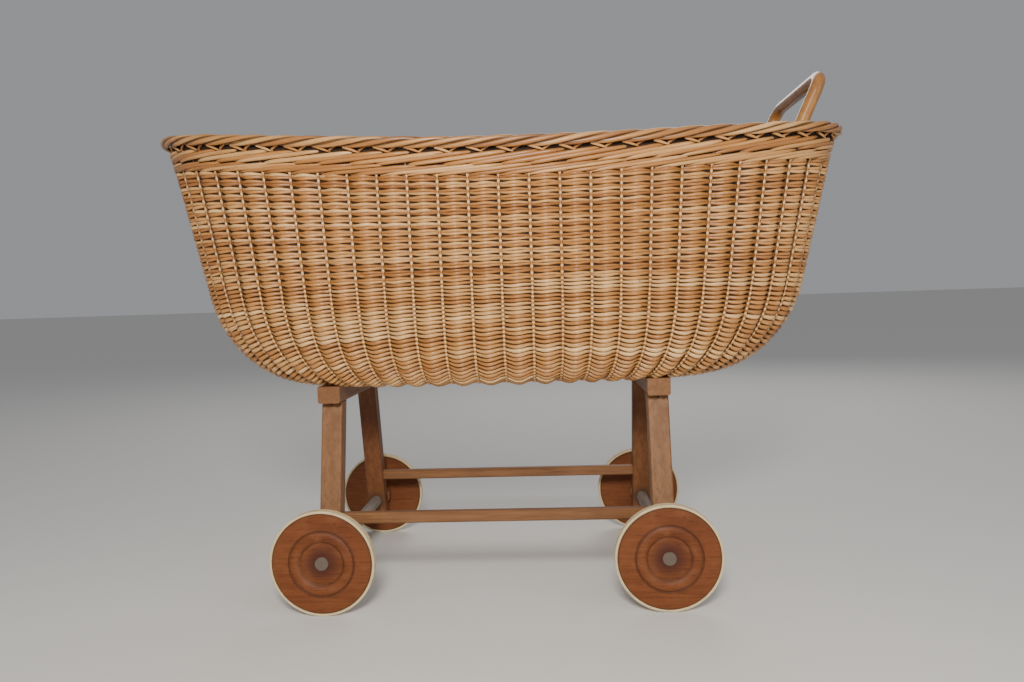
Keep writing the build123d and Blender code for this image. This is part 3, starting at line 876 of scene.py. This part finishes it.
class PRAM_OT_weave_core(bpy.types.Operator):
    """Fill the crevices between the rods with a dark sheet that swings as the rods do, painted shade where
    the gaps would show the shaded inside
    """
    bl_idname = "pram.weave_core"
    bl_label = "Weave core"

    def execute(self, context):
        weave = context.scene.pram_weave
        turns = round_turns(weave)
        grid = WallGrid(turns)
        swing = np.cos(wave_phase(weave, turns)) * weave.swing * MM_IN_METRE
        behind = 0.3
        rows = []
        for share in np.linspace(0.004, 0.98, 22):
            points, upward, _ = grid.low_row(share)
            out = swing * LOWER_SWING * bottom_sway(share) - behind
            rows.append(points + line_normals(points, upward) * out[:, None])
        for share in np.linspace(0, 1, 10):
            points, upward, _ = grid.high_row(share)
            rows.append(points + line_normals(points, upward) * (swing - behind)[:, None])
        for height in (WALL_TOP + 8, WALL_TOP + 20, BORDER_LOW, BORDER_LOW + 5):
            points, normals, _ = rim_line(turns, height)
            rows.append(points + normals * min(2.0, (height - WALL_TOP) * 0.1))
        # The sheet is painted shade that darkens the gaps between the rods.
        core = closed_sheet("weave_core", rows, 0.6, crevice())
        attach(core, "pram")
        return {"FINISHED"}


class PRAM_OT_stake_ends(bpy.types.Operator):
    """Add the stakes' bends and slanting cut ends in the gap under the border"""
    bl_idname = "pram.stake_ends"
    bl_label = "Stake ends"

    def execute(self, context):
        weave = context.scene.pram_weave
        rods = Rods()
        rng = np.random.default_rng(weave.seed + 5)
        turns = round_turns(weave)
        points, normals, up = rim_line(turns, BORDER_LOW)
        for index in range(weave.stakes):
            first = index * weave.samples
            at = (first + np.arange(5)) % len(turns)
            share = np.linspace(0, 1, 5)
            line = points[at] + up[at] * (2.6 - 7.2 * share + rng.normal(0, 0.3))[:, None]
            line = line + normals[at] * (4.6 + 1.6 * share)[:, None]
            rods.add(line, normals[at], np.interp(share, (0, 0.7, 1), (2.3, 1.8, 0.8)),
                     rng.uniform(0.1, 0.5))
            at = (first + np.array([4, 4, 5, 6])) % len(turns)
            line = points[at] + up[at] * np.array([-8.0, -2.0, 1.0, 4.0])[:, None]
            line = line + normals[at] * np.array([1.0, 3.0, 4.0, 4.0])[:, None]
            rods.add(line, normals[at], 2.0, rng.uniform(0.4, 0.9))
        grow("stake_ends", rods, willow("willow_ends", 0.0, 0.5), wander=0.0003,
             replaces=("stake_collar",))
        return {"FINISHED"}


# ---------------------------------------------------------------- the frame's finishes
def finish_nodes(names, material):
    """Give CAD nodes a material in all their slots."""
    for name in names:
        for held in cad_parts[name].material_slots:
            held.material = material


def axle_line(end):
    """Point on the axis of the front or rear axle, in the pram's middle."""
    low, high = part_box(f"{end}_axle")
    return (low[0] + high[0]) / 2, 0, (low[2] + high[2]) / 2


LEG_SPLAY = radians(12.8)
FAR_SHADED_BEECH = (0.8, 0.66, 0.58)          # painted shade: the far, right legs' beech made redder and darker, as shares of the left's


def leg_beech(name, end, side):
    """A leg: grain along its splay, smeared, stained round the axle."""
    beech = tuple(bpy.context.scene.pram_colours.beech)
    lean = -LEG_SPLAY if side == "left" else LEG_SPLAY
    # Painted shade: the far legs take a darker, redder copy of the near legs' beech.
    base = beech if side == "left" else tuple(c * f for c, f in zip(beech, FAR_SHADED_BEECH))
    axle = axle_line(end)
    s = Timber(name, base, 2, (axle[0], 0, 0.18), (lean, 0, 0))
    oil = 1 - s.from_axle(axle).band(*AXLE_OIL_SPREAD)
    colour = s.mix((oil * (0.55 + s.drift * 0.8)).clamp(), s.colour, AXLE_OIL)
    smears = s.noise(s.place((90, 90, 16), (lean, 0, 0)), 1.0, 4.0, 0.6)
    return s.beech_close(s.mix(smears.band(0.60, 0.76) * 0.5, colour, SMEARED_BEECH))


class PRAM_OT_frame_finish(bpy.types.Operator):
    """Finish the legs, rails, stretchers, nails, screws, pegs and the base board"""
    bl_idname = "pram.frame_finish"
    bl_label = "Frame finish"

    def execute(self, context):
        for end in ("front", "rear"):
            for side in ("left", "right"):
                finish_nodes([f"leg_{end}_{side}"], leg_beech(f"beech_leg_{end}_{side}", end, side))
        finish_nodes(["front_cross_rail", "rear_cross_rail"], frame_beech("beech_rail", 1, (0.2, 0, 0.28)))
        finish_nodes(["stretcher_left", "stretcher_right"], frame_beech("beech_stretcher", 0, (0, 0, 0.115)))
        finish_nodes(["base_board"], board_wood())
        finish_nodes(["leg_nails", "stretcher_nails", "basket_screws"], dark_steel())
        finish_nodes(["handle_pegs"], frame_beech("peg_beech", 0))
        return {"FINISHED"}


class PRAM_OT_wheel_finish(bpy.types.Operator):
    """Finish the wheels, their tyres and bosses, and the axles"""
    bl_idname = "pram.wheel_finish"
    bl_label = "Wheel finish"

    def execute(self, context):
        rubber, dowel = tyre_rubber(), greyed_dowel()
        for end in ("front", "rear"):
            centre = axle_line(end)
            finish_nodes([f"wheel_{end}_left", f"wheel_{end}_right"], wheel_wood(f"wheel_{end}", centre))
            finish_nodes([f"boss_{end}_left", f"boss_{end}_right"], frame_beech(f"boss_{end}", 1, centre))
            finish_nodes([f"tyre_{end}_left", f"tyre_{end}_right"], rubber)
            finish_nodes([f"{end}_axle"], dowel)
        return {"FINISHED"}


class PRAM_OT_handle_finish(bpy.types.Operator):
    """Finish the bent cane handle"""
    bl_idname = "pram.handle_finish"
    bl_label = "Handle finish"

    def execute(self, context):
        finish_nodes(["handle_bow"], cane())
        return {"FINISHED"}


# ---------------------------------------------------------------- studio
FLOOR_REACH = 60
FLOOR_GREY = (0.72, 0.71, 0.69, 1)
WORLD_COLOUR, WORLD_STRENGTH = (0.86, 0.87, 0.90, 1), 0.36
LIGHTS = (                             # name, place, target, width, watts, colour
    ("key", (0.02, -1.55, 0.95), (0, 0, 0.42), 0.35, 28, (1, 0.95, 0.87)),
    ("fill", (2.3, -1.8, 1.2), (0, 0, 0.35), 1.8, 10, (0.93, 0.96, 1)),
    ("back", (0.5, 2.4, 2.2), (0, 0, 0.4), 1.8, 26, (1, 0.98, 0.95)))
SENSOR_WIDTH, NEAR_CLIP = 36, 0.02


def slab(name, corners, material):
    """A flat sheet with the given corners."""
    made = bpy.data.meshes.new(name)
    made.from_pydata(corners, [], [tuple(range(len(corners)))])
    made.materials.append(material)
    piece = bpy.data.objects.new(name, made)
    bpy.context.scene.collection.objects.link(piece)
    return piece


def soft_light(name, place, target, size, power, colour):
    """A round area light that points at a target."""
    lamp = bpy.data.lights.new(name, "AREA")
    lamp.shape, lamp.size, lamp.energy, lamp.color = "DISK", size, power, colour
    held = bpy.data.objects.new(name, lamp)
    held.location = place
    held.rotation_euler = (Vector(target) - Vector(place)).to_track_quat("-Z", "Y").to_euler()
    bpy.context.scene.collection.objects.link(held)


def camera_turn(yaw, pitch, roll):
    """The camera's turning matrix from its yaw, pitch and roll."""
    level = Matrix(((1, 0, 0), (0, 0, -1), (0, 1, 0)))
    turned = (Matrix(((cos(roll), -sin(roll), 0), (sin(roll), cos(roll), 0), (0, 0, 1)))
              @ Matrix(((1, 0, 0), (0, cos(pitch), -sin(pitch)), (0, sin(pitch), cos(pitch)))) @ level
              @ Matrix(((cos(yaw), -sin(yaw), 0), (sin(yaw), cos(yaw), 0), (0, 0, 1))))
    return Matrix((turned[0], -turned[1], -turned[2])).transposed().to_4x4()


class PRAM_OT_studio(bpy.types.Operator):
    """Set the pale floor and backdrop, the soft lights and the camera"""
    bl_idname = "pram.studio"
    bl_label = "Studio"

    def execute(self, context):
        stage = context.scene.pram_stage
        corners = [(x * FLOOR_REACH, y * FLOOR_REACH, 0) for x, y in ((-1, -1), (1, -1), (1, 1), (-1, 1))]
        floor = slab("floor", corners, Shader("pale_floor").close(FLOOR_GREY, 0.8))
        world = bpy.data.worlds.new("pale_room")
        world.use_nodes = True
        background = world.node_tree.nodes["Background"]
        background.inputs["Color"].default_value = WORLD_COLOUR
        background.inputs["Strength"].default_value = WORLD_STRENGTH
        context.scene.world = world
        for light in LIGHTS:
            soft_light(*light)
        lens = bpy.data.cameras.new("camera")
        lens.lens, lens.sensor_width, lens.clip_start = stage.lens, SENSOR_WIDTH, NEAR_CLIP
        camera = bpy.data.objects.new("camera", lens)
        camera.matrix_world = Matrix.Translation(stage.place) @ camera_turn(
            stage.yaw, stage.pitch, stage.roll)
        context.scene.collection.objects.link(camera)
        context.scene.camera = camera
        return {"FINISHED"}


# ---------------------------------------------------------------- panel and running
OPERATORS = (
    PRAM_OT_upper_weave, PRAM_OT_lower_weave, PRAM_OT_stakes, PRAM_OT_wale, PRAM_OT_border,
    PRAM_OT_stake_ends, PRAM_OT_weave_core, PRAM_OT_frame_finish, PRAM_OT_wheel_finish, PRAM_OT_handle_finish,
    PRAM_OT_studio)


class PRAM_PT_panel(bpy.types.Panel):
    """Everything the pram is made of, in building order"""
    bl_idname = "PRAM_PT_panel"
    bl_label = "Wicker doll pram"
    bl_space_type = "VIEW_3D"
    bl_region_type = "UI"
    bl_category = "Pram"

    def draw(self, context):
        for held in (context.scene.pram_weave, context.scene.pram_colours, context.scene.pram_stage):
            box = self.layout.box()
            for name in held.__annotations__:
                box.prop(held, name)
        for operator in OPERATORS:
            self.layout.operator(operator.bl_idname)


CLASSES = (PramWeaveSettings, PramColourSettings, PramStageSettings, *OPERATORS, PRAM_PT_panel)


def register():
    for held in CLASSES:
        bpy.utils.register_class(held)
    bpy.types.Scene.pram_weave = bpy.props.PointerProperty(type=PramWeaveSettings)
    bpy.types.Scene.pram_colours = bpy.props.PointerProperty(type=PramColourSettings)
    bpy.types.Scene.pram_stage = bpy.props.PointerProperty(type=PramStageSettings)


def unregister():
    del bpy.types.Scene.pram_weave
    del bpy.types.Scene.pram_colours
    del bpy.types.Scene.pram_stage
    for held in reversed(CLASSES):
        bpy.utils.unregister_class(held)


def main():
    register()
    rod_tree()
    bpy.ops.pram.upper_weave()
    bpy.ops.pram.lower_weave()
    bpy.ops.pram.stakes()
    bpy.ops.pram.wale()
    bpy.ops.pram.border()
    bpy.ops.pram.stake_ends()
    bpy.ops.pram.weave_core()
    bpy.ops.pram.frame_finish()
    bpy.ops.pram.wheel_finish()
    bpy.ops.pram.handle_finish()
    bpy.ops.pram.studio()


if __name__ == "__main__":
    main()
